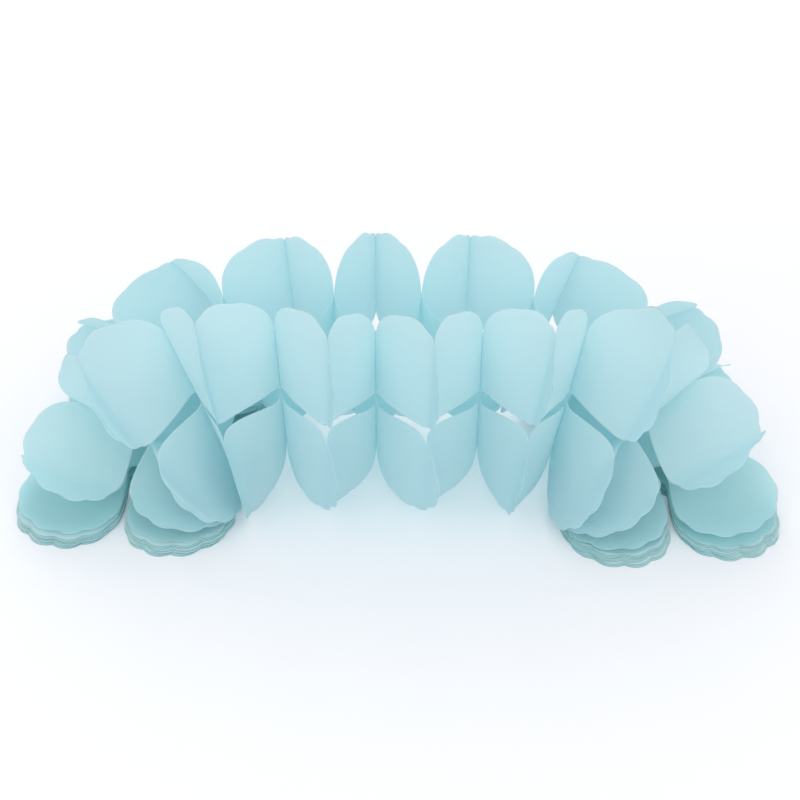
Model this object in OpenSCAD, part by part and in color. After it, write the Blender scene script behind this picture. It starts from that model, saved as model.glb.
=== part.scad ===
// Paper clover garland: a honeycomb of die-cut tissue sheets, pulled into a low arch between its two closed ends.
// +X runs along the garland, +Y points to the back, +Z is up. The origin is on the table, in the middle.
//
// Each sheet is a clover with four petals. On the flat sheet, u is the distance from front to back (negative in
// front) and v is the distance across. Neighbouring sheets are glued along straight lines of constant u, and the
// joints alternate: one kind holds the front petals near their tips and the sheet behind its centre, the other
// kind holds the sheet in front of its centre and the back petals near their tips.

/* [Clover sheet] */
// Half of the clover's width, across the garland
half_width = 75; // [50:1:110]
// Half of the clover's depth, front to back
half_depth = 94; // [84:1:130]
// Radius of a petal, front to back
petal_radius = 33.4; // [33:0.1:36]
// Half of the gap between two petals where they come closest
petal_gap = 2.4; // [1:0.1:6]
// Height of the scallops round a petal
scallop = 0.9; // [0:0.1:2]
// Scallops in a full turn round a petal
scallops = 16; // [8:1:24]
// Distance from the centre to the bottom of the front and back notches
notch_front = 28.6; // [28:0.1:36]
// Half of the width of a notch near its bottom
notch_half = 7; // [4:0.5:12]
// Distance from the centre to the bottom of the side notches
notch_side = 34; // [20:0.5:45]
// Thickness of a sheet, drawn thicker than real tissue
paper = 0.3; // [0.2:0.05:0.6]

/* [Glue lines] */
// Distance from the centre to the inner glue lines
glue_inner = 27.5; // [26:0.1:28]
// Distance from the centre to the glue lines across the petals
glue_outer = 80; // [74:0.5:84]
// Share of a strip's length that is left as a straight span once the paper curves
slack = 0.985; // [0.95:0.005:1]
// How softly a strip leaves its glue lines: 0 is straight, 1 starts flat against its neighbour
curl = 0.55; // [0:0.05:1]

/* [Arch] */
// Glued joints from one closed end to the other, closed ends included
joints = 22; // [22:2:30]
// Joint at which the left fan starts to turn up
fan_start = 0; // [0:0.1:1]
// Joint at which the left fan stands upright
fan_end = 8.7; // [8.4:0.1:9.6]
// How slowly the fan starts: 1 is even, larger keeps the first sheets flatter
fan_ease = 1.15; // [1:0.05:1.5]
// Joint at which the sheets start to open in front of and behind the centre
spread_start = 4.6; // [2.5:0.1:5]
// Joint at which the sheets are fully open
spread_end = 8.7; // [8.5:0.1:10]
// Distance between sheets where they lie closest
gap_closed = 0.6; // [0.6:0.1:2]
// Distance between joints where the garland is fully open
gap_open = 31.4; // [20:0.1:34]

/* [Closed ends] */
// Height of a closed end
pack_height = 4.5; // [3:0.5:20]
// Bundles that show at the edge of a closed end
pack_bundles = 3; // [1:1:6]
// How far each bundle is pushed out of line with the next
pack_slip = 0.7; // [0:0.1:2]

/* [Hidden] */
sheets = joints - 1;

paper_colour = [0.70, 0.87, 0.90];
pack_colour = [0.55, 0.78, 0.80];

// The petal is an ellipse about this point of the sheet
petal_u = half_depth - scallop - petal_radius;
petal_v = (half_width - scallop + petal_gap) / 2;
petal_reach_v = petal_v - petal_gap;

// The scallops are highest at the crest and fade away towards the two notches beside the petal
crest = 42;
fade = 105;
function scallop_at(angle) =
    scallop * cos(90 * min(abs(angle - crest) / fade, 1)) * cos(scallops * (angle - crest));

// A point on the petal's edge, at an angle about the petal's centre
function petal_edge(angle) =
    let (extra = scallop_at(angle))
    [petal_u + (petal_radius + extra) * cos(angle), petal_v + (petal_reach_v + extra) * sin(angle)];

// Angle at which the petal's edge passes a distance u from the sheet's centre
function petal_angle(u) = acos(max(-1, min(1, (u - petal_u) / petal_radius)));

// Outer edge of the sheet at u: the side notch near the centre, then the petal
function outer_edge(u) =
    u >= glue_inner
        ? petal_v + (petal_reach_v + scallop_at(petal_angle(u))) * sin(petal_angle(u))
        : notch_side + (outer_edge(glue_inner) - notch_side) * pow(u / glue_inner, 1.6);

// Inner edge of the sheet at u, beside the front or back notch
function inner_edge(u) =
    u >= petal_u ? petal_edge(-petal_angle(u))[1]
        : petal_gap + (notch_half - petal_gap) * pow((petal_u - u) / (petal_u - notch_front), 2);

// Columns of points across a sheet, from the centre to the petal's tip. They stand on the high and low points of
// the scallops, on both glue lines and at the bottom of the notch.
notch_columns = 2;
wave_step = 180 / scallops;
body_us = [for (j = [0 : notch_columns]) glue_inner * j / notch_columns];
waves = [for (j = [scallops : -1 : -scallops]) crest + j * wave_step];
notch_angle = petal_angle(notch_front) - wave_step / 3;
glue_angle = petal_angle(glue_outer);
petal_us = concat(
    [notch_front],
    [for (angle = waves) if (angle < notch_angle && angle > glue_angle + wave_step / 2) petal_edge(angle)[0]],
    [glue_outer]
);
tip_angles = concat([for (angle = waves) if (angle < glue_angle - wave_step / 2 && angle > 4) angle], [2]);

// Columns of the back half: each is [u, v] at the inner edge, then [u, v] at the outer edge
half_columns = concat(
    [for (u = body_us) [[u, notch_half], [u, outer_edge(u)]]],
    [for (u = petal_us) [[u, inner_edge(u)], [u, outer_edge(u)]]],
    [for (angle = tip_angles) [petal_edge(-angle), petal_edge(angle)]]
);
half_count = len(half_columns);

// All columns from the front tip to the back tip
function flip(point) = [-point[0], point[1]];
columns = concat(
    [for (j = [half_count - 1 : -1 : 1]) [flip(half_columns[j][0]), flip(half_columns[j][1])]],
    half_columns
);
column_count = len(columns);
notch_column = notch_columns + 1;
front_notch = half_count - 1 - notch_column;
back_notch = half_count - 1 + notch_column;

// A smooth step from 0 at the first value to 1 at the second
function smooth(from, to, x) = (1 - cos(180 * max(0, min(1, (x - from) / (to - from))))) / 2;

// Tilt of joint k: 0 lies on the left closed end, 90 stands upright, 180 lies on the right closed end
function left_tilt(k) = 90 * smooth(0, 1, pow(max(0, (k - fan_start) / (fan_end - fan_start)), fan_ease));
function tilt(k) = 2 * k < sheets ? left_tilt(k) : 180 - left_tilt(sheets - k);

// Distance between joints k and k + 1 at the middle of the sheet. The fan's inner edges nearly touch.
function left_opening(k) =
    gap_closed + (gap_open - gap_closed) * smooth(spread_start, spread_end, k)
    + half_width * sin(left_tilt(k + 1) - left_tilt(k));
function opening(k) =
    2 * k + 1 == sheets ? gap_open : (2 * k < sheets ? left_opening(k) : left_opening(sheets - 1 - k));

// Middle of joint k, added up from the middle of the arch outwards and from the closed end upwards
function step_tilt(k) = (left_tilt(k) + left_tilt(k + 1)) / 2;
function left_x(k) = 2 * k + 1 == sheets ? -gap_open / 2 : left_x(k + 1) - left_opening(k) * sin(step_tilt(k));
function left_z(k) = k == 0 ? pack_height : left_z(k - 1) + left_opening(k - 1) * cos(step_tilt(k - 1));
function centre(k) = 2 * k < sheets ? [left_x(k), left_z(k)] : [-left_x(sheets - k), left_z(sheets - k)];

centres = [for (k = [0 : sheets]) centre(k)];
tilts = [for (k = [0 : sheets]) tilt(k)];

// Distance between the joints before and after joint k, halved, at a distance v across the sheet
function spacing(k, v) =
    let (before = max(k - 1, 0), after = min(k + 1, sheets), turn = tilts[after] - tilts[before])
    (k == 0 || k == sheets) ? gap_closed
        : ((opening(k - 1) + opening(k)) + v * sin(turn)) / 2;

// Where the glue lines lie, front to back, once the sheets are pulled apart
function inner_reach(s) = sqrt(max(pow(2 * glue_inner * slack, 2) - s * s, 1)) / 2;
function outer_reach(s) = inner_reach(s) + sqrt(max(pow((glue_outer - glue_inner) * slack, 2) - s * s, 1));

// A point in the plane of joint k, lifted off it towards the next joint
function joint_point(k, y, v, lift) =
    let (t = tilts[k], c = centres[k])
    [c[0] - v * cos(t) + lift * sin(t), y, c[1] + v * sin(t) + lift * cos(t)];

// A point of sheet i at u and v on the flat sheet. The sheet lies between joints i and i + 1. The odd one of them
// holds the front tips and the chord behind the centre, the even one the chord in front of it and the back tips.
// The sheet stands just off both joints, so that it meets its neighbours face to face.
function sheet_point(i, u, v, side) =
    let (
        tips = i % 2 == 1 ? i : i + 1,
        chord = i % 2 == 1 ? i + 1 : i,
        lift = paper / 2,
        tips_lift = (tips == i ? lift : -lift) + side * lift,
        chord_lift = (chord == i ? lift : -lift) + side * lift,
        tips_spacing = spacing(tips, v),
        chord_spacing = spacing(chord, v),
        front_tips_y = -outer_reach(tips_spacing),
        front_chord_y = -inner_reach(chord_spacing),
        back_chord_y = inner_reach(tips_spacing),
        back_tips_y = outer_reach(chord_spacing)
    )
    u < -glue_outer ? joint_point(tips, front_tips_y + u + glue_outer, v, tips_lift)
    : u <= -glue_inner ? strip_point(tips, chord, front_tips_y, front_chord_y,
        (u + glue_outer) / (glue_outer - glue_inner), v, tips_lift, chord_lift)
    : u < glue_inner ? strip_point(chord, tips, front_chord_y, back_chord_y,
        (u + glue_inner) / (2 * glue_inner), v, chord_lift, tips_lift)
    : u <= glue_outer ? strip_point(tips, chord, back_chord_y, back_tips_y,
        (u - glue_inner) / (glue_outer - glue_inner), v, tips_lift, chord_lift)
    : joint_point(chord, back_tips_y + u - glue_outer, v, chord_lift);

// A strip runs from one joint to the next and leaves both of them softly
function strip_point(from, to, y_from, y_to, t, v, lift_from, lift_to) =
    let (
        across = t - curl * sin(360 * t) / 360 * 180 / PI,
        a = joint_point(from, y_from, v, lift_from),
        b = joint_point(to, y_to, v, lift_to)
    )
    [a[0] + (b[0] - a[0]) * across, a[1] + (b[1] - a[1]) * t, a[2] + (b[2] - a[2]) * across];

// Each column has four points: the outer and inner edge of one petal, then the inner and outer edge of the other
function column_points(i, j, side) =
    let (inner = columns[j][0], outer = columns[j][1])
    [
        sheet_point(i, outer[0], -outer[1], side),
        sheet_point(i, inner[0], -inner[1], side),
        sheet_point(i, inner[0], inner[1], side),
        sheet_point(i, outer[0], outer[1], side)
    ];

rows = 4;
layer = column_count * rows;
function at(side, j, r) = side * layer + j * rows + r;

// The notch between two petals is open beyond the notch's bottom
function open_cell(j, r) = r == 1 && (j < front_notch || j >= back_notch);

// Two triangles of the lower or the upper face
function face_quad(j, r) =
    [
        [at(1, j, r), at(1, j + 1, r), at(1, j + 1, r + 1)], [at(1, j, r), at(1, j + 1, r + 1), at(1, j, r + 1)],
        [at(0, j, r), at(0, j + 1, r + 1), at(0, j + 1, r)], [at(0, j, r), at(0, j, r + 1), at(0, j + 1, r + 1)]
    ];

// Two triangles of the rim, along the edge from point p to point q of a layer
function rim_quad(p, q) = [[p, q, q + layer], [p, q + layer, p + layer]];

sheet_faces = concat(
    [for (j = [0 : column_count - 2]) for (r = [0 : rows - 2]) if (!open_cell(j, r)) each face_quad(j, r)],
    [for (j = [0 : column_count - 2]) each rim_quad(at(0, j, 0), at(0, j + 1, 0))],
    [for (j = [0 : column_count - 2]) each rim_quad(at(0, j + 1, 3), at(0, j, 3))],
    [for (r = [0, 2]) each rim_quad(at(0, 0, r + 1), at(0, 0, r))],
    [for (r = [0, 2]) each rim_quad(at(0, column_count - 1, r), at(0, column_count - 1, r + 1))],
    [for (j = [0 : front_notch - 1]) each concat(
        rim_quad(at(0, j + 1, 1), at(0, j, 1)), rim_quad(at(0, j, 2), at(0, j + 1, 2)))],
    [for (j = [back_notch : column_count - 2]) each concat(
        rim_quad(at(0, j + 1, 1), at(0, j, 1)), rim_quad(at(0, j, 2), at(0, j + 1, 2)))],
    rim_quad(at(0, front_notch, 2), at(0, front_notch, 1)),
    rim_quad(at(0, back_notch, 1), at(0, back_notch, 2))
);

// One open sheet: a clover of tissue, zigzagged between its two neighbours
module open_sheet(i) {
    points = [for (side = [-1, 1]) for (j = [0 : column_count - 1]) each column_points(i, j, side)];
    color(paper_colour) polyhedron(points = points, faces = sheet_faces, convexity = 6);
}

// The flat clover's outline, one quarter mirrored to the other three
quarter = concat(
    [for (u = body_us) [u, outer_edge(u)]],
    [for (u = petal_us) [u, outer_edge(u)]],
    [for (angle = tip_angles) petal_edge(angle)],
    [for (j = [len(tip_angles) - 1 : -1 : 0]) petal_edge(-tip_angles[j])],
    [for (j = [len(petal_us) - 1 : -1 : 0]) [petal_us[j], inner_edge(petal_us[j])]]
);
function mirrored(points, su, sv) = [for (p = points) [su * p[0], sv * p[1]]];
function reversed(points) = [for (j = [len(points) - 1 : -1 : 1]) points[j]];
clover_outline = concat(quarter, reversed(mirrored(quarter, 1, -1)), mirrored(quarter, -1, -1),
    reversed(mirrored(quarter, -1, 1)));

// A closed end: bundles of flat sheets, each pushed a little out of line
module closed_end(x) {
    bundle = pack_height / pack_bundles;
    color(pack_colour)
        for (layer_index = [0 : pack_bundles - 1])
            translate([x + pack_slip * sin(130 * layer_index), pack_slip * cos(130 * layer_index), bundle * layer_index])
                rotate([0, 0, 90])
                    linear_extrude(bundle) polygon(clover_outline);
}

module left_pack() closed_end(centres[0][0]);
module right_pack() closed_end(centres[sheets][0]);

left_pack();
for (i = [0 : sheets - 1]) open_sheet(i);
right_pack();
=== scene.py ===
# %% [markdown]
# # A tissue clover garland
# The garland is a honeycomb: die-cut tissue clovers, glued to each other along straight lines and pulled
# apart. Its two ends are still closed and lie flat on the table, and the open sheets fan up out of them
# into a low arch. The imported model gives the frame. Every piece of the finished scene replaces one of its
# nodes, at about its place.

# %% Load the frame
import math

import bmesh
import bpy
from mathutils import Matrix, Vector
from mathutils.kdtree import KDTree


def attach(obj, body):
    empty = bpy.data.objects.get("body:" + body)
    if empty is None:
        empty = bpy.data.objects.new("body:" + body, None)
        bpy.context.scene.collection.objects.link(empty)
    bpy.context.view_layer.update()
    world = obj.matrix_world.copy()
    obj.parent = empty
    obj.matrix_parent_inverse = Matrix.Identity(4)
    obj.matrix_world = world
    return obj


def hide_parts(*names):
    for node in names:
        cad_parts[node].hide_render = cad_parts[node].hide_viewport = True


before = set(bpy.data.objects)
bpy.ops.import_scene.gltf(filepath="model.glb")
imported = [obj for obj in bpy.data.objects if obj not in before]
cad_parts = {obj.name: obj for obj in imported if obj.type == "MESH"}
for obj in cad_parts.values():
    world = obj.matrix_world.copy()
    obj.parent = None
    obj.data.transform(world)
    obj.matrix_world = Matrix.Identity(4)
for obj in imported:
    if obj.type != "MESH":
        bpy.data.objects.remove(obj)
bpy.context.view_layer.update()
print("nodes in the frame:", len(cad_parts))

# %% [markdown]
# ## Sizes
# The clover's width, its glue lines and the number of joints are those of the part's source, in metres. The
# other sizes start from its values too, and were then set closer to the photograph. The solids follow a
# plain rule, and this scene adds what hands do to paper: a bow, a sag, a droop and some uneven joints. A
# flat sheet has two coordinates: "along" runs from front to back, "across" runs along the garland.

# %% Sizes of the sheet
HALF_WIDTH = 0.075
HALF_DEPTH = 0.095
PETAL_RADIUS = 0.0334
# Half of the gap between two petals where they come closest
PETAL_GAP = 0.0024
# How far a petal leans to the middle at its tip, and how softly the lean starts
PETAL_LEAN = 0.003
LEAN_POWER = 1.5
# Height of the waves round a petal, and their number in a full turn
SCALLOP = 0.0014
SCALLOPS = 11
# One wave has its top at the crest. The waves are highest at the fade's middle and are gone at its end.
CREST = math.radians(57)
FADE_MIDDLE = math.radians(20)
FADE = math.radians(112)
# Front and back notches: distance to the bottom, half width, length of the rounding, half of the flat bottom
NOTCH_FRONT = 0.0286
NOTCH_HALF = 0.0066
NOTCH_ROUNDING = 0.010
NOTCH_FLAT = 0.0015
# Distance to the bottom of the side notches, and how the sides of all notches curve
NOTCH_SIDE = 0.034
NOTCH_POWER = 1.6
# Distances from the centre to the two glue lines
GLUE_INNER = 0.0275
GLUE_OUTER = 0.080
print("clover in metres:", 2 * HALF_WIDTH, "by", 2 * HALF_DEPTH)

# %% [markdown]
# ## The camera
# It stands where the photograph was taken from: in front of the garland, a little above it, looking down.

# %% Camera
CAMERA_PLACE = Vector((0.0008, -0.6876, 0.6203))
CAMERA_DOWN = math.radians(39.37)
# The small turn and roll of the camera, in radians
CAMERA_TURN = -0.001
CAMERA_ROLL = 0.0067
CAMERA_FOCUS_PIXELS = 1297
IMAGE_PIXELS = 800
SENSOR = 36


def camera_matrix(place, down, turn, roll):
    ahead = Vector((math.sin(turn) * math.cos(down), math.cos(turn) * math.cos(down), -math.sin(down)))
    right = Vector((math.cos(turn), -math.sin(turn), 0))
    up = right.cross(ahead)
    rolled_right = right * math.cos(roll) + up * math.sin(roll)
    rolled_up = up * math.cos(roll) - right * math.sin(roll)
    turned = Matrix((rolled_right, rolled_up, -ahead)).transposed()
    return Matrix.Translation(place) @ turned.to_4x4()


camera_data = bpy.data.cameras.new("camera")
camera_data.sensor_width = SENSOR
camera_data.lens = SENSOR * CAMERA_FOCUS_PIXELS / IMAGE_PIXELS
camera = bpy.data.objects.new("camera", camera_data)
camera.matrix_world = camera_matrix(CAMERA_PLACE, CAMERA_DOWN, CAMERA_TURN, CAMERA_ROLL)
bpy.context.collection.objects.link(camera)
bpy.context.scene.camera = camera
print("lens in mm:", round(camera_data.lens, 1))

# %% [markdown]
# ## How the arch stands
# Each glued joint lies in a plane. The first one is flat on the closed end, the later ones tilt up, and the
# middle ones stand upright. The distance between two joints is large enough that their lower edges never
# cross.

# %% Sizes of the arch
JOINTS = 22
LAST = JOINTS - 1
# The joint at which a fan stands upright, and how slowly each fan starts
FAN_END = 8.7
FAN_EASE_LEFT = 1.22
FAN_EASE_RIGHT = 1.32
# How far a chord joint lags, in joints. The lag grows over the first joints and shrinks after a few more.
CHORD_LAG = 0.3
LAG_GROWS_OVER = 2
LAG_SHRINKS_FROM = 3
LAG_SHRINKS_OVER = 3
# The joints between which the sheets open in front of and behind the centre, and the gaps before and after
SPREAD_START = 4.6
SPREAD_END = 8.7
GAP_CLOSED = 0.0008
GAP_OPEN = 0.0314
PACK_HEIGHT = 0.0045
print("joints from one closed end to the other:", JOINTS)


# %% Tilts and places of the joints
def smooth(value):
    return (1 - math.cos(math.pi * max(0.0, min(1.0, value)))) / 2


def lag_at(near, k):
    """The chord joints near a closed end lag behind the tips joints."""
    if k % 2:
        return 0
    shrunk = smooth((near - LAG_SHRINKS_FROM) / LAG_SHRINKS_OVER)
    return CHORD_LAG * smooth(near / LAG_GROWS_OVER) * (1 - shrunk)


def end_tilt(near, k, ease):
    return math.pi / 2 * smooth((max(0, near - lag_at(near, k)) / FAN_END) ** ease)


def rule_tilt(k):
    if 2 * k < LAST:
        return end_tilt(k, k, FAN_EASE_LEFT)
    return math.pi - end_tilt(LAST - k, k, FAN_EASE_RIGHT)


def spread(near):
    return smooth((near - SPREAD_START) / (SPREAD_END - SPREAD_START))


rule_tilts = [rule_tilt(k) for k in range(JOINTS)]
middle = (LAST - 1) // 2


def opening(k):
    if k == middle:
        return GAP_OPEN
    turn = abs(rule_tilts[k + 1] - rule_tilts[k])
    return GAP_CLOSED + (GAP_OPEN - GAP_CLOSED) * spread(min(k, LAST - 1 - k)) + HALF_WIDTH * math.sin(turn)


openings = [opening(k) for k in range(LAST)]


def climb(ks):
    """Places of the joints on the way up from a closed end, with x measured from that end."""
    x, z = 0.0, PACK_HEIGHT
    places = []
    for k, following in zip(ks, ks[1:] + ks[-1:]):
        places.append((x, z))
        step = (rule_tilts[k] + rule_tilts[following]) / 2
        length = openings[min(k, following)]
        x += length * abs(math.sin(step))
        z += length * abs(math.cos(step))
    return places


left_places = climb(list(range(middle + 1)))
right_places = climb(list(range(LAST, middle, -1)))
left_end = left_places[-1][0] + GAP_OPEN / 2
right_end = right_places[-1][0] + GAP_OPEN / 2
rule_xs = [x - left_end for x, z in left_places] + [right_end - x for x, z in reversed(right_places)]
heights = [z for x, z in left_places + right_places[::-1]]
print("heights of the two middle joints:", round(heights[middle], 4), round(heights[middle + 1], 4))

# %% [markdown]
# The garland was pulled apart by hand, so the arch bows to the front, its middle sags and some joints stand
# a little off the rule. These amounts were read from the photograph. A table's keys are joints, counted
# from the left end.

# %% Unevenness of the joints
# Turn of the arch at its two ends, and how far the right end lies in front of the middle
BOW = math.radians(5.4)
SKEW = 0.003
# How much closer each of the next joints lies, from a joint right of the middle on
RIGHT_PULL = 0.0015
PULL_START = 11
PULLED_JOINTS = 4
# How far the middle of an open sheet hangs
SAG = 0.007
# The place, by the rule above, that becomes the origin
MIDDLE_X = -0.0016
MIDDLE_Y = 0.004
# Moves along the garland and down, in metres, then leans and turns in degrees
JOINT_SHIFTS = {6: 0.0048, 10: -0.002, 11: -0.0035, 12: 0.0035, 13: 0.003, 14: -0.001}
JOINT_DROPS = {6: -0.0022, 10: 0.002}
JOINT_LEANS = {3: -3.0, 5: -4.0, 6: 4.0, 9: 2.0, 11: 2.0, 13: 7.0, 14: -3.5, 15: 3.0, 17: 3.0}
JOINT_TURNS = {9: -1.5, 10: -1.5, 11: -4.0, 12: -3.0}

ARCH_END = -rule_xs[0]
joints = []
for k, x in enumerate(rule_xs):
    pulled = -RIGHT_PULL * max(0, min(PULLED_JOINTS, k - PULL_START))
    y = BOW * x * x / ARCH_END / 2 - SKEW * x / ARCH_END
    z = heights[k] - JOINT_DROPS.get(k, 0)
    place = (x + pulled + JOINT_SHIFTS.get(k, 0) - MIDDLE_X, y - MIDDLE_Y, z)
    yaw = math.radians(JOINT_TURNS.get(k, 0)) - BOW * x / ARCH_END
    tilt = rule_tilts[k] + math.radians(JOINT_LEANS.get(k, 0))
    joints.append((place, yaw, tilt, SAG * spread(min(k, LAST - k))))
print("length of the arch between its ends:", round(joints[-1][0][0] - joints[0][0][0], 4))


def joint_values(k):
    """Place, turn, tilt, sag, mean distance to the neighbouring joints, and half of the turn between them."""
    place, yaw, tilt, sag = joints[k]
    if k in (0, LAST):
        return place, yaw, tilt, sag, GAP_CLOSED, 0.0
    spacing = (openings[k - 1] + openings[k]) / 2
    return place, yaw, tilt, sag, spacing, math.sin(joints[k + 1][2] - joints[k - 1][2]) / 2


# %% [markdown]
# ## The flat clover
# The die cuts one outline through the whole stack: four round petals, wavy on their outer sides, with a
# teardrop notch between the two front petals and another between the two back ones. The mesh is a grid of
# columns that follow this outline, so that a fold can run straight along a column.

# %% Outline of a petal
PETAL_ALONG = HALF_DEPTH - SCALLOP - PETAL_RADIUS
PETAL_ACROSS = (HALF_WIDTH - SCALLOP + PETAL_GAP) / 2
PETAL_REACH = PETAL_ACROSS - PETAL_GAP


def scallop_at(angle):
    away = min(abs(angle - FADE_MIDDLE) / FADE, 1)
    wave = abs(math.cos(SCALLOPS * (angle - CREST) / 2))
    return SCALLOP * math.cos(math.pi / 2 * away) * (2 * wave - 1)


def lean_at(angle):
    return PETAL_LEAN * max(0.0, math.cos(angle)) ** LEAN_POWER


def petal_edge(angle):
    extra = scallop_at(angle)
    along = PETAL_ALONG + (PETAL_RADIUS + extra) * math.cos(angle)
    return along, PETAL_ACROSS - lean_at(angle) + (PETAL_REACH + extra) * math.sin(angle)


def petal_angle(along):
    return math.acos(max(-1, min(1, (along - PETAL_ALONG) / PETAL_RADIUS)))


def outer_edge(along):
    if along >= GLUE_INNER:
        angle = petal_angle(along)
        return PETAL_ACROSS - lean_at(angle) + (PETAL_REACH + scallop_at(angle)) * math.sin(angle)
    rise = outer_edge(GLUE_INNER) - NOTCH_SIDE
    return NOTCH_SIDE + rise * (along / GLUE_INNER) ** NOTCH_POWER


def inner_edge(along):
    if along >= PETAL_ALONG:
        return petal_edge(-petal_angle(along))[1]
    taper = ((PETAL_ALONG - along) / (PETAL_ALONG - NOTCH_FRONT)) ** NOTCH_POWER
    half = PETAL_GAP + (NOTCH_HALF - PETAL_GAP) * taper
    past = max(0.0, min(1.0, (along - NOTCH_FRONT) / NOTCH_ROUNDING))
    rounding = math.sqrt(1 - (1 - past) ** 2)
    return NOTCH_FLAT + (half - NOTCH_FLAT) * rounding


# %% Columns of the clover, from the centre to the tip of the back petals
COLUMNS_BODY = 16
COLUMNS_NOTCH = 10
COLUMNS_PETAL = 40
COLUMNS_TIP = 22
LAST_TIP_ANGLE = math.radians(1)

half_columns = []
for j in range(COLUMNS_BODY + 1):
    along = GLUE_INNER * j / COLUMNS_BODY
    half_columns.append(((along, NOTCH_FLAT), (along, outer_edge(along))))
notch_column = len(half_columns)
start = petal_angle(NOTCH_FRONT)
end = petal_angle(GLUE_OUTER)
for j in range(COLUMNS_PETAL + 1):
    along = PETAL_ALONG + PETAL_RADIUS * math.cos(start + (end - start) * j / COLUMNS_PETAL)
    half_columns.append(((along, inner_edge(along)), (along, outer_edge(along))))
for j in range(1, COLUMNS_TIP + 1):
    angle = end + (LAST_TIP_ANGLE - end) * j / COLUMNS_TIP
    half_columns.append((petal_edge(-angle), petal_edge(angle)))


def flipped(column):
    return tuple((-along, across) for along, across in column)


columns = [flipped(c) for c in reversed(half_columns[1:])] + half_columns
front_notch = len(half_columns) - 1 - notch_column
back_notch = len(half_columns) - 1 + notch_column
print("columns across a sheet:", len(columns))

# %% [markdown]
# The clover's mesh is flat and has its own UV map, in which one unit is ten centimetres of paper. Two
# attributes go with it, both masks of painted light: one is 1 at the cut edge and fades out within 1.6 mm,
# for a painted highlight there, and the other is 1 in the deep folds between the inner glue lines and 0 at
# the tips, for painted shade in the folds.

# %% Flat clover mesh
UV_UNIT = 0.1
RIM_HIGHLIGHT_WIDTH = 0.0016
ROWS_PETAL = 26
CROWDING = 0.1
# Shares of a column's length at which a row of points lies. They crowd towards both cut edges.
SHARES = [r / ROWS_PETAL - CROWDING * math.sin(2 * math.pi * r / ROWS_PETAL) for r in range(ROWS_PETAL + 1)]


def column_points(column):
    (inner_along, inner_across), (outer_along, outer_across) = column
    petal = [(inner_across + (outer_across - inner_across) * share,
              inner_along + (outer_along - inner_along) * share) for share in SHARES]
    return [(-x, y) for x, y in reversed(petal)] + petal


def add_paper_map(mesh):
    uv = mesh.uv_layers.new(name="paper")
    for loop in mesh.loops:
        x, y, z = mesh.vertices[loop.vertex_index].co
        uv.data[loop.index].uv = (x / UV_UNIT, y / UV_UNIT)


def flat_clover():
    mesh = bpy.data.meshes.new("flat_clover")
    rows = 2 * len(SHARES)
    points = [point for column in columns for point in column_points(column)]
    faces = []
    for j in range(len(columns) - 1):
        for r in range(rows - 1):
            in_middle = r == len(SHARES) - 1
            if in_middle and not front_notch <= j < back_notch:
                continue
            corner = j * rows + r
            faces.append((corner, corner + 1, corner + rows + 1, corner + rows))
    mesh.from_pydata([(x, y, 0) for x, y in points], [], faces)
    shape = bmesh.new()
    shape.from_mesh(mesh)
    bmesh.ops.delete(shape, geom=[v for v in shape.verts if not v.link_faces], context="VERTS")
    bmesh.ops.recalc_face_normals(shape, faces=shape.faces)
    if sum(f.normal.z for f in shape.faces) < 0:
        bmesh.ops.reverse_faces(shape, faces=shape.faces)
    shape.to_mesh(mesh)
    shape.free()
    add_paper_map(mesh)
    return mesh


def add_attributes(mesh):
    """Store how close each point is to the cut edge, for a painted highlight, and how deep in the folds it
    will lie, for painted shade.
    """
    shape = bmesh.new()
    shape.from_mesh(mesh)
    edge_points = [v.co.copy() for v in shape.verts if any(e.is_boundary for e in v.link_edges)]
    shape.free()
    tree = KDTree(len(edge_points))
    for index, point in enumerate(edge_points):
        tree.insert(point, index)
    tree.balance()
    # Mask of the painted highlight along the cut edge
    rim = mesh.attributes.new("rim", "FLOAT", "POINT")
    rim.data.foreach_set("value", [max(0.0, 1 - tree.find(v.co)[2] / RIM_HIGHLIGHT_WIDTH) for v in mesh.vertices])
    # Mask of the painted shade: a deeper tint in the folds between the inner glue lines
    inner = mesh.attributes.new("inner", "FLOAT", "POINT")
    strip = GLUE_OUTER - GLUE_INNER
    fold_shade_shares = [max(0.0, min(1.0, (GLUE_OUTER - abs(v.co.y)) / strip)) for v in mesh.vertices]
    inner.data.foreach_set("value", [share ** 2 for share in fold_shade_shares])


clover = flat_clover()
add_attributes(clover)

# %% [markdown]
# ## Tissue
# Honeycomb tissue is dyed through, matt, and so thin that about half of the light goes through it. The folds
# glow in a deeper colour, because light has passed through more paper there. The material is therefore a matt
# surface mixed with a translucent one. A deeper tint is also painted into the folds and into the sheets next
# to the closed ends as painted shade, and a painted highlight lies along the cut edge. Fine cloudiness and a
# faint crumple come from noise on the sheet's own UV map.

# %% Material helpers
def new_material(name):
    material = bpy.data.materials.new(name)
    material.use_nodes = True
    nodes = material.node_tree.nodes
    nodes.clear()
    output = nodes.new("ShaderNodeOutputMaterial")
    return material, nodes, material.node_tree.links, output


def add_noise(nodes, links, coordinates, scale, detail, roughness=0.5):
    noise = nodes.new("ShaderNodeTexNoise")
    noise.inputs["Scale"].default_value = scale
    noise.inputs["Detail"].default_value = detail
    noise.inputs["Roughness"].default_value = roughness
    links.new(coordinates, noise.inputs["Vector"])
    return noise.outputs["Fac"]


def add_bump(nodes, links, height, strength, distance):
    bump = nodes.new("ShaderNodeBump")
    bump.inputs["Strength"].default_value = strength
    bump.inputs["Distance"].default_value = distance
    links.new(height, bump.inputs["Height"])
    return bump


def add_attribute(nodes, name):
    attribute = nodes.new("ShaderNodeAttribute")
    attribute.attribute_name = name
    return attribute.outputs["Fac"]


def add_matt_surface(nodes, links, colour, roughness, shine):
    surface = nodes.new("ShaderNodeBsdfPrincipled")
    surface.inputs["Roughness"].default_value = roughness
    surface.inputs["Specular IOR Level"].default_value = shine
    links.new(colour, surface.inputs["Base Color"])
    return surface


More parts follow.
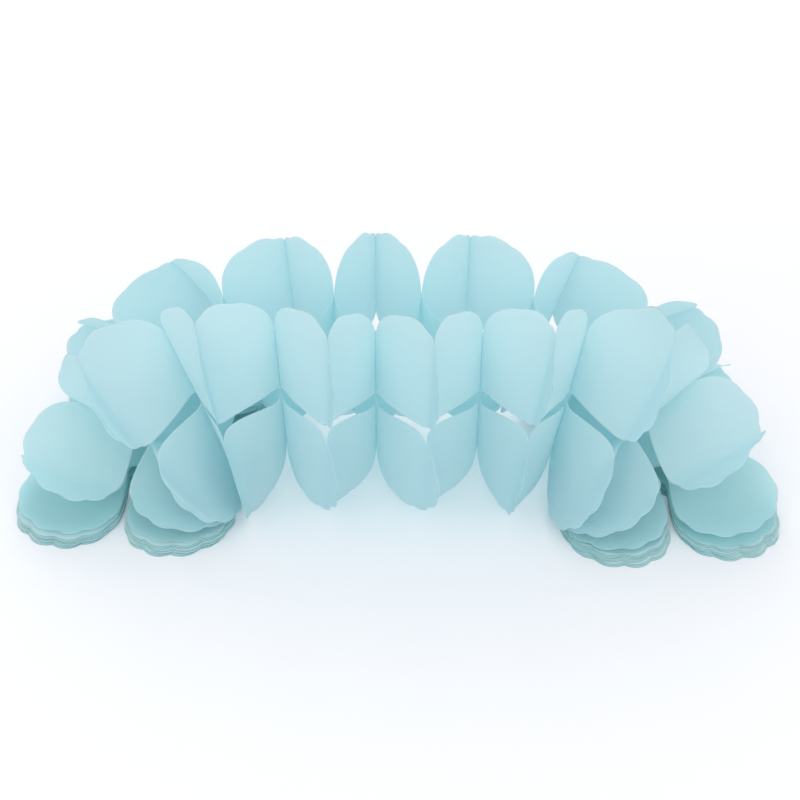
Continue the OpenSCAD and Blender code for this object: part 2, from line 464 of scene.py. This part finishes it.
def mix_colours(nodes, links, amount, first, second):
    mix = nodes.new("ShaderNodeMix")
    mix.data_type = "RGBA"
    for socket, value in (("A", first), ("B", second)):
        target = next(s for s in mix.inputs if s.name == socket and s.type == "RGBA")
        if isinstance(value, tuple):
            target.default_value = value
        else:
            links.new(value, target)
    links.new(amount, mix.inputs["Factor"])
    return next(s for s in mix.outputs if s.type == "RGBA")


# %% Tissue material
TISSUE_PALE = (0.836, 0.932, 0.958, 1)
TISSUE_CLOUD = (0.814, 0.926, 0.951, 1)
# Painted shade: the deeper tint in the folds between the inner glue lines
TISSUE_FOLD_SHADE = (0.835, 0.958, 0.970, 1)
# Painted shade: a deeper tint on the sheets next to a closed end and on the closed ends
TISSUE_STACK_SHADE = (0.745, 0.945, 0.948, 1)
TISSUE_THROUGH = (0.812, 0.960, 0.972, 1)
# Painted highlight: a pale line along the cut edge, where the edge catches the light
TISSUE_RIM_HIGHLIGHT = (0.930, 0.990, 0.995, 1)
RIM_HIGHLIGHT_POWER = 1.5
# Shares of the light that go through a single sheet and through a closed stack
TRANSLUCENCY = 0.6
CLOSED_TRANSLUCENCY = 0.2


def tissue_material(name, share_through):
    material, nodes, links, output = new_material(name)
    uv = nodes.new("ShaderNodeUVMap")
    uv.uv_map = "paper"
    cloud = add_noise(nodes, links, uv.outputs["UV"], scale=9, detail=3)
    fibre = add_noise(nodes, links, uv.outputs["UV"], scale=160, detail=4, roughness=0.6)
    crumple = add_noise(nodes, links, uv.outputs["UV"], scale=14, detail=5, roughness=0.55)
    colour = mix_colours(nodes, links, cloud, TISSUE_PALE, TISSUE_CLOUD)
    # Painted shade: a deeper tint in the folds
    colour = mix_colours(nodes, links, add_attribute(nodes, "inner"), colour, TISSUE_FOLD_SHADE)
    # Painted shade next to the closed ends
    colour = mix_colours(nodes, links, add_attribute(nodes, "stack_shade"), colour, TISSUE_STACK_SHADE)
    # Painted highlight: the colour turns near-white towards the cut edge
    sharpen_highlight = nodes.new("ShaderNodeMath")
    sharpen_highlight.operation = "POWER"
    sharpen_highlight.inputs[1].default_value = RIM_HIGHLIGHT_POWER
    links.new(add_attribute(nodes, "rim"), sharpen_highlight.inputs[0])
    colour = mix_colours(nodes, links, sharpen_highlight.outputs[0], colour, TISSUE_RIM_HIGHLIGHT)

    fine = add_bump(nodes, links, fibre, strength=0.08, distance=0.0002)
    soft = add_bump(nodes, links, crumple, strength=0.25, distance=0.001)
    links.new(fine.outputs["Normal"], soft.inputs["Normal"])

    surface = add_matt_surface(nodes, links, colour, roughness=0.85, shine=0.2)
    links.new(soft.outputs["Normal"], surface.inputs["Normal"])
    behind = nodes.new("ShaderNodeBsdfTranslucent")
    behind.inputs["Color"].default_value = TISSUE_THROUGH
    links.new(soft.outputs["Normal"], behind.inputs["Normal"])
    mixed = nodes.new("ShaderNodeMixShader")
    mixed.inputs["Fac"].default_value = share_through
    links.new(surface.outputs["BSDF"], mixed.inputs[1])
    links.new(behind.outputs["BSDF"], mixed.inputs[2])
    links.new(mixed.outputs["Shader"], output.inputs["Surface"])
    return material


tissue = tissue_material("tissue", TRANSLUCENCY)
closed_tissue = tissue_material("closed_tissue", CLOSED_TRANSLUCENCY)
print("light through a sheet:", TRANSLUCENCY, "and through a closed stack:", CLOSED_TRANSLUCENCY)

# %% [markdown]
# The side of a closed stack shows dozens of cut edges as fine level lines. Its colours are painted shade, a
# teal far darker than the tissue, and the darker lines are a painted shadow in the gaps between the sheets.
# Noise on
# Object coordinates, drawn out flat by a Mapping node, gives such lines without a picture, and they stay
# level on every layer.

# %% Material of the cut edges
# Painted shade: both colours are far darker than the tissue, and the darker lines are painted shadow between
# the sheets
CUT_GAP_SHADE = (0.110, 0.360, 0.380, 1)
CUT_EDGE_SHADE = (0.280, 0.580, 0.610, 1)
CUT_LINES = 1600
DRAWN_OUT = 0.04


def shaded_cut_edge_material():
    material, nodes, links, output = new_material("shaded_cut_edges")
    place = nodes.new("ShaderNodeTexCoord")
    flat = nodes.new("ShaderNodeMapping")
    flat.inputs["Scale"].default_value = (DRAWN_OUT, DRAWN_OUT, 1)
    links.new(place.outputs["Object"], flat.inputs["Vector"])
    lines = add_noise(nodes, links, flat.outputs["Vector"], scale=CUT_LINES, detail=2)
    colour = mix_colours(nodes, links, lines, CUT_GAP_SHADE, CUT_EDGE_SHADE)
    surface = add_matt_surface(nodes, links, colour, roughness=0.9, shine=0.1)
    links.new(surface.outputs["BSDF"], output.inputs["Surface"])
    return material


shaded_cut_edges = shaded_cut_edge_material()
print("materials made:", [material.name for material in (tissue, closed_tissue, shaded_cut_edges)])

# %% [markdown]
# ## Folding a sheet
# Every open sheet is the same clover, zigzagged between two joints. The rule is the same for all of them,
# so one Geometry Nodes tree folds any sheet: it reads where the two joints are and moves each point of the
# flat clover. A small class turns ordinary sums into Math nodes, which keeps the rule readable.


# %% Sums as nodes
class Term:
    """A number in the tree. Adding or multiplying two terms adds a Math node."""

    def __init__(self, tree, socket):
        self.tree = tree
        self.socket = socket

    def node(self, operation, *others):
        math_node = self.tree.nodes.new("ShaderNodeMath")
        math_node.operation = operation
        for target, value in zip(math_node.inputs, (self,) + others):
            if isinstance(value, Term):
                self.tree.links.new(value.socket, target)
            else:
                target.default_value = value
        return Term(self.tree, math_node.outputs[0])

    def __add__(self, other):
        return self.node("ADD", other)

    def __sub__(self, other):
        return self.node("SUBTRACT", other)

    def __mul__(self, other):
        return self.node("MULTIPLY", other)

    def __truediv__(self, other):
        return self.node("DIVIDE", other)


def clamped(term, low, high):
    return term.node("MAXIMUM", low).node("MINIMUM", high)


# %% Inputs and ends of a tree
JOINT_INPUTS = ("place x", "place y", "place z", "yaw", "tilt", "sag", "spacing", "half turn", "lift")
SHEET_INPUTS = ("glue inner", "glue outer", "slack", "back curl", "chord curl", "front droop", "back droop",
                "crumple", "seed")
FLAP_INPUTS = ("upper turn", "lower turn", "bend")


def new_tree(name):
    tree = bpy.data.node_groups.new(name, "GeometryNodeTree")
    tree.interface.new_socket(name="Geometry", in_out="INPUT", socket_type="NodeSocketGeometry")
    tree.interface.new_socket(name="Geometry", in_out="OUTPUT", socket_type="NodeSocketGeometry")
    return tree


def add_inputs(tree, names, kind="NodeSocketFloat"):
    for name in names:
        tree.interface.new_socket(name=name, in_out="INPUT", socket_type=kind)


def input_terms(tree):
    """The tree's inputs by name, each as a term."""
    inputs = tree.nodes.new("NodeGroupInput")
    return {socket.name: Term(tree, socket) for socket in inputs.outputs if socket.name}


def realized(tree, geometry):
    realize = tree.nodes.new("GeometryNodeRealizeInstances")
    tree.links.new(geometry, realize.inputs["Geometry"])
    return realize.outputs["Geometry"]


def painted(tree, geometry, material):
    paint = tree.nodes.new("GeometryNodeSetMaterial")
    tree.links.new(geometry, paint.inputs["Geometry"])
    tree.links.new(material.socket, paint.inputs["Material"])
    return paint


def end_tree(tree, geometry):
    output = tree.nodes.new("NodeGroupOutput")
    tree.links.new(geometry, output.inputs["Geometry"])


# %% [markdown]
# The paper can't stretch much, so pulling two joints apart brings their glue lines closer to the middle. A
# strip leaves its glue line at a low slope, close to its neighbour, and crosses to the other joint along a
# soft curve, a cubic. Beyond its outer glue line a petal is a free flap, which may turn and bend together
# with the flap that it lies against.

# %% Parts of the folding rule
# Keeps a root real where two joints stand further apart than the strip between them is long
SMALLEST_SQUARE = 1e-6
# How quickly a flap's turn changes across the sheet: at 0.5 the change takes the whole width
FLAP_BLEND = 0.9
# The most that the start of a front strip is bent away from its straight slope
FRONT_CURL_LIMIT = 1.6


def reaches(value, side, across):
    """How far from the middle the inner and the outer glue line of a joint lie, once pulled apart."""
    spacing = value[f"{side} spacing"] + across * value[f"{side} half turn"]
    squared = spacing * spacing

    def span(length):
        straight = length * length * value["slack"] * value["slack"]
        return (straight - squared).node("MAXIMUM", SMALLEST_SQUARE).node("SQRT")

    near = span(value["glue inner"] * 2) * 0.5
    return near, near + span(value["glue outer"] - value["glue inner"])


def eased(t, first, last):
    """A cubic from 0 to 1 whose slope is 1 - first at the start and 1 - last at the end."""
    rest = t * -1 + 1
    return t - t * rest * (rest * first - t * last)


def flap_turn(value, side, across):
    """The turn of a flap, which goes from its lower to its upper value across the sheet."""
    upper_share = clamped(across / HALF_WIDTH * FLAP_BLEND + 0.5, 0, 1)
    lower = value[f"{side} lower turn"]
    return lower + (value[f"{side} upper turn"] - lower) * upper_share


def bent_flap(value, side, across, past):
    """How far a point past the glue line lies along the sheet, and how far beside the joint's plane."""
    middle_turn = flap_turn(value, side, across) + past * value[f"{side} bend"] * 0.5
    return past * middle_turn.node("COSINE"), past * middle_turn.node("SINE")


def plane_point(value, side, across, depth, hang, away):
    """The place of a point that lies flat in the plane of one joint."""
    tilt, yaw = value[f"{side} tilt"], value[f"{side} yaw"]
    cosine, sine = tilt.node("COSINE"), tilt.node("SINE")
    lift = value[f"{side} lift"] + away
    sideways = lift * sine - across * cosine
    turned_x = sideways * yaw.node("COSINE") + depth * yaw.node("SINE")
    turned_y = depth * yaw.node("COSINE") - sideways * yaw.node("SINE")
    z = value[f"{side} place z"] + (across - hang) * sine + lift * cosine
    return value[f"{side} place x"] + turned_x, value[f"{side} place y"] + turned_y, z


def folded_place(value, across, along):
    """The folded place of a point of the flat clover, and how far it is from the glue lines."""
    inner, outer = value["glue inner"], value["glue outer"]
    strip = outer - inner
    tips_near, tips_far = reaches(value, "tips", across)
    chord_near, chord_far = reaches(value, "chord", across)

    # How far the point has come over the front strip, the middle one and the back one
    t1 = clamped((along + outer) / strip, 0, 1)
    t2 = clamped((along + inner) / (inner * 2), 0, 1)
    t3 = clamped((along - inner) / strip, 0, 1)

    # A front strip meets its flap without a crease, so its slope at the glue line is the flap's own turn
    tips_spacing = value["tips spacing"] + across * value["tips half turn"]
    straight_on = flap_turn(value, "tips", across).node("TANGENT") * (tips_far - chord_near) / tips_spacing
    front_curl = clamped(straight_on * value["tips lift"].node("SIGN") + 1, 0, FRONT_CURL_LIMIT)
    steep = value["chord curl"]
    share = eased(t1, front_curl, steep) - eased(t2, steep, steep) + eased(t3, steep, value["back curl"])

    front_past = (along + outer).node("MINIMUM", 0) * -1
    back_past = (along - outer).node("MAXIMUM", 0)
    front_length, front_away = bent_flap(value, "tips", across, front_past)
    back_length, back_away = bent_flap(value, "chord", across, back_past)
    depth = (tips_far - chord_near) * t1 - tips_far
    depth = depth + (tips_near + chord_near) * t2 + (chord_far - tips_near) * t3 - front_length + back_length

    # The tips droop, and the middle of a sheet hangs lower than its stiff upper and lower edges
    ahead = depth.node("MINIMUM", 0) / outer
    behind = depth.node("MAXIMUM", 0) / outer
    droop = ahead * ahead * value["front droop"] + behind * behind * value["back droop"]
    above = across.node("MAXIMUM", 0) / HALF_WIDTH
    below = across.node("MINIMUM", 0) / HALF_WIDTH
    belly = above * above * -1 - below * below * 0.5 + 1

    tips_hang = droop + belly * value["tips sag"]
    chord_hang = droop + belly * value["chord sag"]
    tips_point = plane_point(value, "tips", across, depth, tips_hang, front_away)
    chord_point = plane_point(value, "chord", across, depth, chord_hang, back_away)
    place = [at_tips + (at_chord - at_tips) * share for at_tips, at_chord in zip(tips_point, chord_point)]
    free = (t1 * math.pi).node("SINE") + (t2 * math.pi).node("SINE") + (t3 * math.pi).node("SINE")
    return place, free


# %% The folding tree
CRUMPLES_PER_METRE = 28


def folded(tree, geometry, place, free):
    """Move every point to its folded place, and keep how free it is for the crumples."""
    nodes, links = tree.nodes, tree.links
    keep = nodes.new("GeometryNodeStoreNamedAttribute")
    keep.data_type = "FLOAT"
    keep.inputs["Name"].default_value = "loose"
    links.new(geometry, keep.inputs["Geometry"])
    links.new(free.socket, keep.inputs["Value"])
    target = nodes.new("ShaderNodeCombineXYZ")
    for name, term in zip("XYZ", place):
        links.new(term.socket, target.inputs[name])
    fold = nodes.new("GeometryNodeSetPosition")
    links.new(keep.outputs["Geometry"], fold.inputs["Geometry"])
    links.new(target.outputs[0], fold.inputs["Position"])
    return fold.outputs["Geometry"]


def crumpled(tree, geometry, value):
    """Push the paper in and out by noise, which fades out towards the glue lines, where two sheets meet."""
    nodes, links = tree.nodes, tree.links
    noise = nodes.new("ShaderNodeTexNoise")
    noise.noise_dimensions = "4D"
    noise.inputs["Scale"].default_value = CRUMPLES_PER_METRE
    noise.inputs["Detail"].default_value = 2
    noise.inputs["Roughness"].default_value = 0.4
    links.new(value["seed"].socket, noise.inputs["W"])
    loose = nodes.new("GeometryNodeInputNamedAttribute")
    loose.data_type = "FLOAT"
    loose.inputs["Name"].default_value = "loose"
    height = (Term(tree, noise.outputs["Fac"]) - 0.5) * value["crumple"]
    wave = height * Term(tree, loose.outputs["Attribute"])
    normal = nodes.new("GeometryNodeInputNormal")
    push = nodes.new("ShaderNodeVectorMath")
    push.operation = "SCALE"
    links.new(normal.outputs[0], push.inputs[0])
    links.new(wave.socket, push.inputs["Scale"])
    crumple = nodes.new("GeometryNodeSetPosition")
    links.new(geometry, crumple.inputs["Geometry"])
    links.new(push.outputs["Vector"], crumple.inputs["Offset"])
    return crumple.outputs["Geometry"]


def build_fold_tree():
    tree = new_tree("fold_sheet")
    for side in ("tips", "chord"):
        add_inputs(tree, [f"{side} {name}" for name in JOINT_INPUTS + FLAP_INPUTS])
    add_inputs(tree, SHEET_INPUTS)
    add_inputs(tree, ["paper"], "NodeSocketMaterial")
    value = input_terms(tree)

    position = tree.nodes.new("GeometryNodeInputPosition")
    apart = tree.nodes.new("ShaderNodeSeparateXYZ")
    tree.links.new(position.outputs[0], apart.inputs[0])
    across, along = Term(tree, apart.outputs["X"]), Term(tree, apart.outputs["Y"])

    place, free = folded_place(value, across, along)
    geometry = folded(tree, value["Geometry"].socket, place, free)
    geometry = realized(tree, crumpled(tree, geometry, value))
    end_tree(tree, painted(tree, geometry, value["paper"]).outputs["Geometry"])
    return tree


fold_tree = build_fold_tree()
print("nodes in the folding tree:", len(fold_tree.nodes))


# %% Run a tree on a mesh and keep the plain result
def grown(name, mesh, tree, settings):
    worker = bpy.data.objects.new(name + "_worker", mesh)
    bpy.context.collection.objects.link(worker)
    modifier = worker.modifiers.new("tree", "NODES")
    modifier.node_group = tree
    identifiers = {s.name: s.identifier for s in tree.interface.items_tree if s.in_out == "INPUT"}
    for key, setting in settings.items():
        modifier[identifiers[key]] = setting
    graph = bpy.context.evaluated_depsgraph_get()
    result = bpy.data.meshes.new_from_object(worker.evaluated_get(graph))
    result.name = name
    bpy.data.objects.remove(worker)
    piece = bpy.data.objects.new(name, result)
    bpy.context.collection.objects.link(piece)
    return piece


# %% [markdown]
# ## The open sheets
# An odd joint holds the front tips of its two sheets and the chord behind the centre. An even joint holds
# the chord in front of the centre and the back tips. Each sheet gets its own seed, so no two crumple alike.
# The tree moves a single layer of faces, and a Solidify modifier then gives the paper its two sides.

# %% Fold the 21 open sheets
THICKNESS = 0.00012
CRUMPLE = 0.0022
SEED_STEP = 7
# Share of a strip's length that is left as a straight span once the paper curves
SLACK = 0.985
# How softly a strip leaves its glue lines at the back tips and at the chords: 1 starts flat on its neighbour
BACK_CURL = 0.6
CHORD_CURL = 0.55
# How far the tips hang, in front and at the back
FRONT_DROOP = 0.0045
BACK_DROOP = 0.0015
# How many sheets next to a closed end get painted shade: a deeper colour that stands for the layers around
# them
STACK_SHADE_SHEETS = 5
# Turn of the front flaps in degrees above and below, and the bend of the upper sheet's own flap
FLAP_TURNS = {7: (10, 25), 9: (14, 32), 11: (10, 32), 13: (8, -6), 15: (5, 0)}
FLAP_BENDS = {5: 30}


def joint_settings(side, k, i):
    (x, y, z), yaw, tilt, sag, spacing, half_turn = joint_values(k)
    lift = THICKNESS / 2 if k == i else -THICKNESS / 2
    named = dict(zip(JOINT_INPUTS, (x, y, z, yaw, tilt, sag, spacing, half_turn, lift)))
    if side == "tips":
        upper, lower = FLAP_TURNS.get(k, (0, 0))
        bend = FLAP_BENDS.get(k, 0) if k == i else 0
    else:
        upper, lower, bend = 0, 0, 0
    named.update(zip(FLAP_INPUTS, (math.radians(upper), math.radians(lower), bend)))
    return {f"{side} {key}": float(number) for key, number in named.items()}


def set_stack_shade(mesh, amount):
    """Paint shade into the colour where sheets lie on each other: a deeper tint for light that has passed
    through several of them.
    """
    stack_shade = mesh.attributes.new("stack_shade", "FLOAT", "POINT")
    stack_shade.data.foreach_set("value", [amount] * len(mesh.vertices))


def open_sheet(i):
    tips, chord = (i, i + 1) if i % 2 else (i + 1, i)
    settings = {"paper": tissue}
    for side, k in (("tips", tips), ("chord", chord)):
        settings.update(joint_settings(side, k, i))
    sizes = (GLUE_INNER, GLUE_OUTER, SLACK, BACK_CURL, CHORD_CURL, FRONT_DROOP, BACK_DROOP)
    settings.update(zip(SHEET_INPUTS, sizes + (CRUMPLE, float(i * SEED_STEP))))
    piece = grown(f"tissue_{i + 1}", clover, fold_tree, settings)
    for face in piece.data.polygons:
        face.use_smooth = True
    # Painted shade, strongest next to a closed end
    set_stack_shade(piece.data, 1 - smooth(min(i, LAST - 1 - i) / STACK_SHADE_SHEETS))
    solid = piece.modifiers.new("thickness", "SOLIDIFY")
    solid.thickness = THICKNESS
    solid.offset = 0
    return piece


for i in range(LAST):
    piece = open_sheet(i)
    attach(piece, "root")
    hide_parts(f"sheet_{i + 1}")
print("open sheets made:", LAST)

# %% [markdown]
# ## The closed ends
# Each closed end is a stack of clovers that never opened. So many thin sheets look like a few thick layers,
# and so a layer is a solid slab in the clover's outline, whose side wall gets the material of the cut edges,
# which is painted shade. A tree puts the layers on a line that leans to the back: whole bundles slip by one
# random amount, and the single layers by a much smaller one.

# %% One layer
LAYER_THICKNESS = 0.00048


def clover_outline():
    """The cut line once round: each column gives its outer end, and beside a notch its inner end too."""
    inner = [(column[0][1], column[0][0]) for column in columns]
    outer = [(column[1][1], column[1][0]) for column in columns]
    front, back = inner[:front_notch + 1], inner[back_notch:]
    right = outer[::-1] + front
    left = front[::-1] + outer
    return right + [(-x, y) for x, y in left + back[::-1]] + back


def thick_layer(name, thickness):
    """A closed slab in the clover's outline. Its wall of cut edges is marked as "side"."""
    mesh = bpy.data.meshes.new(name)
    shape = bmesh.new()
    outline = clover_outline()
    top = [shape.verts.new((x, y, 0)) for x, y in outline]
    bottom = [shape.verts.new((x, y, -thickness)) for x, y in outline]
    shape.faces.new(top)
    shape.faces.new(bottom[::-1])
    for n in range(len(outline)):
        shape.faces.new((top[n - 1], bottom[n - 1], bottom[n], top[n]))
    bmesh.ops.recalc_face_normals(shape, faces=shape.faces)
    sides = [len(face.verts) == 4 for face in shape.faces]
    shape.to_mesh(mesh)
    shape.free()
    side = mesh.attributes.new("side", "BOOLEAN", "FACE")
    side.data.foreach_set("value", sides)
    add_paper_map(mesh)
    return mesh


layer = thick_layer("layer", LAYER_THICKNESS)
# The closed ends get the full painted shade
set_stack_shade(layer, 1.0)
print("faces of one layer:", len(layer.polygons))

# %% The stacking tree
LAYERS = 9
BUNDLE = 3
BUNDLE_SLIP = 0.0011
LAYER_SLIP = 0.0002
LAYER_TURN = math.radians(0.5)
# The stack leans: its lowest layer lies this much further to the front than its top one
STACK_LEAN = 0.0062


def random_vector(nodes, links, reach, index, seed):
    scatter = nodes.new("FunctionNodeRandomValue")
    scatter.data_type = "FLOAT_VECTOR"
    low, high = [s for s in scatter.inputs if s.type == "VECTOR" and s.name in ("Min", "Max")]
    low.default_value = tuple(-r for r in reach)
    high.default_value = reach
    links.new(index, scatter.inputs["ID"])
    links.new(seed, scatter.inputs["Seed"])
    return next(s for s in scatter.outputs if s.type == "VECTOR")


def build_stack_tree():
    tree = new_tree("stack_layers")
    add_inputs(tree, ("layers", "bundle", "seed"), "NodeSocketInt")
    add_inputs(tree, ("height", "place x", "place y", "yaw", "lean"))
    add_inputs(tree, ("paper", "cut edges"), "NodeSocketMaterial")
    nodes, links = tree.nodes, tree.links
    value = input_terms(tree)

    pitch = value["height"] / value["layers"]
    step = nodes.new("ShaderNodeCombineXYZ")
    first = nodes.new("ShaderNodeCombineXYZ")
    links.new(pitch.socket, step.inputs["Z"])
    links.new((value["lean"] / value["layers"]).socket, step.inputs["Y"])
    links.new(value["place x"].socket, first.inputs["X"])
    links.new((value["place y"] - value["lean"]).socket, first.inputs["Y"])
    links.new(pitch.socket, first.inputs["Z"])
    line = nodes.new("GeometryNodeMeshLine")
    links.new(value["layers"].socket, line.inputs["Count"])
    links.new(step.outputs[0], line.inputs["Offset"])
    links.new(first.outputs[0], line.inputs["Start Location"])

    index = nodes.new("GeometryNodeInputIndex")
    bundle = (Term(tree, index.outputs[0]) / value["bundle"]).node("FLOOR")
    slips = random_vector(nodes, links, (BUNDLE_SLIP, BUNDLE_SLIP, 0), bundle.socket, value["seed"].socket)
    shifts = random_vector(nodes, links, (LAYER_SLIP, LAYER_SLIP, 0), index.outputs[0], value["seed"].socket)
    turns = random_vector(nodes, links, (0, 0, LAYER_TURN), bundle.socket, value["seed"].socket)
    slipped = nodes.new("ShaderNodeVectorMath")
    links.new(slips, slipped.inputs[0])
    links.new(shifts, slipped.inputs[1])
    move = nodes.new("GeometryNodeSetPosition")
    links.new(line.outputs["Mesh"], move.inputs["Geometry"])
    links.new(slipped.outputs[0], move.inputs["Offset"])

    facing = nodes.new("ShaderNodeCombineXYZ")
    links.new((value["yaw"] * -1 + math.pi).socket, facing.inputs["Z"])
    turned = nodes.new("ShaderNodeVectorMath")
    links.new(facing.outputs[0], turned.inputs[0])
    links.new(turns, turned.inputs[1])
    copies = nodes.new("GeometryNodeInstanceOnPoints")
    links.new(move.outputs["Geometry"], copies.inputs["Points"])
    links.new(value["Geometry"].socket, copies.inputs["Instance"])
    links.new(turned.outputs[0], copies.inputs["Rotation"])

    geometry = realized(tree, copies.outputs["Instances"])
    geometry = painted(tree, geometry, value["paper"]).outputs["Geometry"]
    paint_sides = painted(tree, geometry, value["cut edges"])
    side = nodes.new("GeometryNodeInputNamedAttribute")
    side.data_type = "BOOLEAN"
    side.inputs["Name"].default_value = "side"
    links.new(side.outputs["Attribute"], paint_sides.inputs["Selection"])
    end_tree(tree, paint_sides.outputs["Geometry"])
    return tree


stack_tree = build_stack_tree()
print("nodes in the stacking tree:", len(stack_tree.nodes))

# %% Stack the two closed ends
# Side, its joint and the seed of its slips
CLOSED_ENDS = (("left", 0, 5), ("right", LAST, 12))

for side, k, seed in CLOSED_ENDS:
    (x, y, z), yaw = joints[k][:2]
    settings = {"layers": LAYERS, "bundle": BUNDLE, "seed": seed, "height": PACK_HEIGHT, "lean": STACK_LEAN}
    settings.update({"place x": x, "place y": y, "yaw": yaw, "paper": closed_tissue, "cut edges": shaded_cut_edges})
    piece = grown(f"closed_{side}", layer, stack_tree, settings)
    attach(piece, "root")
    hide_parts(f"{side}_pack")
print("layers in each closed end:", LAYERS)

# %% [markdown]
# ## Floor and light
# The object stands on white, in soft light from all sides. A wide matt floor keeps the shadow under the
# arch, and a faint glow that only the camera sees lifts it to white. The world lights the paper at a plain
# level and looks white to the camera. Only camera rays are told apart: nothing here is shiny or clear, and
# light that comes through the tissue has to stay at the plain level too. Three large lamps add a little
# direction.

# %% Floor
FLOOR_REACH = 6
FLOOR_COLOUR = (0.93, 0.91, 0.93, 1)
FLOOR_GLOW = 0.12


def is_camera_ray(nodes):
    return nodes.new("ShaderNodeLightPath").outputs["Is Camera Ray"]


def floor_paper():
    material, nodes, links, output = new_material("floor_paper")
    diffuse = nodes.new("ShaderNodeBsdfDiffuse")
    diffuse.inputs["Color"].default_value = FLOOR_COLOUR
    glow = nodes.new("ShaderNodeEmission")
    strength = nodes.new("ShaderNodeMath")
    strength.operation = "MULTIPLY"
    strength.inputs[1].default_value = FLOOR_GLOW
    links.new(is_camera_ray(nodes), strength.inputs[0])
    links.new(strength.outputs[0], glow.inputs["Strength"])
    both = nodes.new("ShaderNodeAddShader")
    links.new(diffuse.outputs["BSDF"], both.inputs[0])
    links.new(glow.outputs["Emission"], both.inputs[1])
    links.new(both.outputs["Shader"], output.inputs["Surface"])
    return material


corners = [(x * FLOOR_REACH, y * FLOOR_REACH, 0) for x, y in ((-1, -1), (1, -1), (1, 1), (-1, 1))]
floor_mesh = bpy.data.meshes.new("floor")
floor_mesh.from_pydata(corners, [], [(0, 1, 2, 3)])
floor_mesh.materials.append(floor_paper())
floor = bpy.data.objects.new("floor", floor_mesh)
bpy.context.collection.objects.link(floor)
print("floor in metres:", 2 * FLOOR_REACH, "by", 2 * FLOOR_REACH)

# %% World
WORLD_COLOUR = (0.94, 0.97, 1, 1)
WORLD_STRENGTH = 0.79
WHITE = (1, 1, 1, 1)


def background(nodes, colour, strength):
    shader = nodes.new("ShaderNodeBackground")
    shader.inputs["Color"].default_value = colour
    shader.inputs["Strength"].default_value = strength
    return shader.outputs["Background"]


world = bpy.data.worlds.new("studio")
bpy.context.scene.world = world
world.use_nodes = True
nodes, links = world.node_tree.nodes, world.node_tree.links
nodes.clear()
world_output = nodes.new("ShaderNodeOutputWorld")
choose = nodes.new("ShaderNodeMixShader")
links.new(is_camera_ray(nodes), choose.inputs["Fac"])
links.new(background(nodes, WORLD_COLOUR, WORLD_STRENGTH), choose.inputs[1])
links.new(background(nodes, WHITE, 1), choose.inputs[2])
links.new(choose.outputs[0], world_output.inputs["Surface"])
print("strength of the world's light:", WORLD_STRENGTH)

# %% Lamps
LAMP_TARGET = Vector((0, 0, 0.05))
# Name, place, side of the square in metres, and power in watts
LAMPS = (
    ("behind", (-0.3, 1.5, 1.6), 1.2, 8),
    ("front_left", (-1.1, -1.5, 1.3), 1.4, 6),
    ("front_right", (1.1, -1.5, 1.3), 1.4, 5),
)


def soft_lamp(name, place, size, power):
    data = bpy.data.lights.new(name, "AREA")
    data.shape = "SQUARE"
    data.size = size
    data.energy = power
    lamp = bpy.data.objects.new(name, data)
    lamp.location = place
    lamp.rotation_euler = (LAMP_TARGET - Vector(place)).to_track_quat("-Z", "Y").to_euler()
    bpy.context.collection.objects.link(lamp)


for name, place, size, power in LAMPS:
    soft_lamp(name, place, size, power)
print("lamps:", len(LAMPS))

# %% [markdown]
# ## Finish
# The deep folds are lit by light that has gone from sheet to sheet many times, so it may bounce more often
# than usual.

MAX_BOUNCES = 16
DIFFUSE_BOUNCES = 12

bpy.context.scene.view_settings.view_transform = "Standard"
bpy.context.scene.cycles.max_bounces = MAX_BOUNCES
bpy.context.scene.cycles.diffuse_bounces = DIFFUSE_BOUNCES
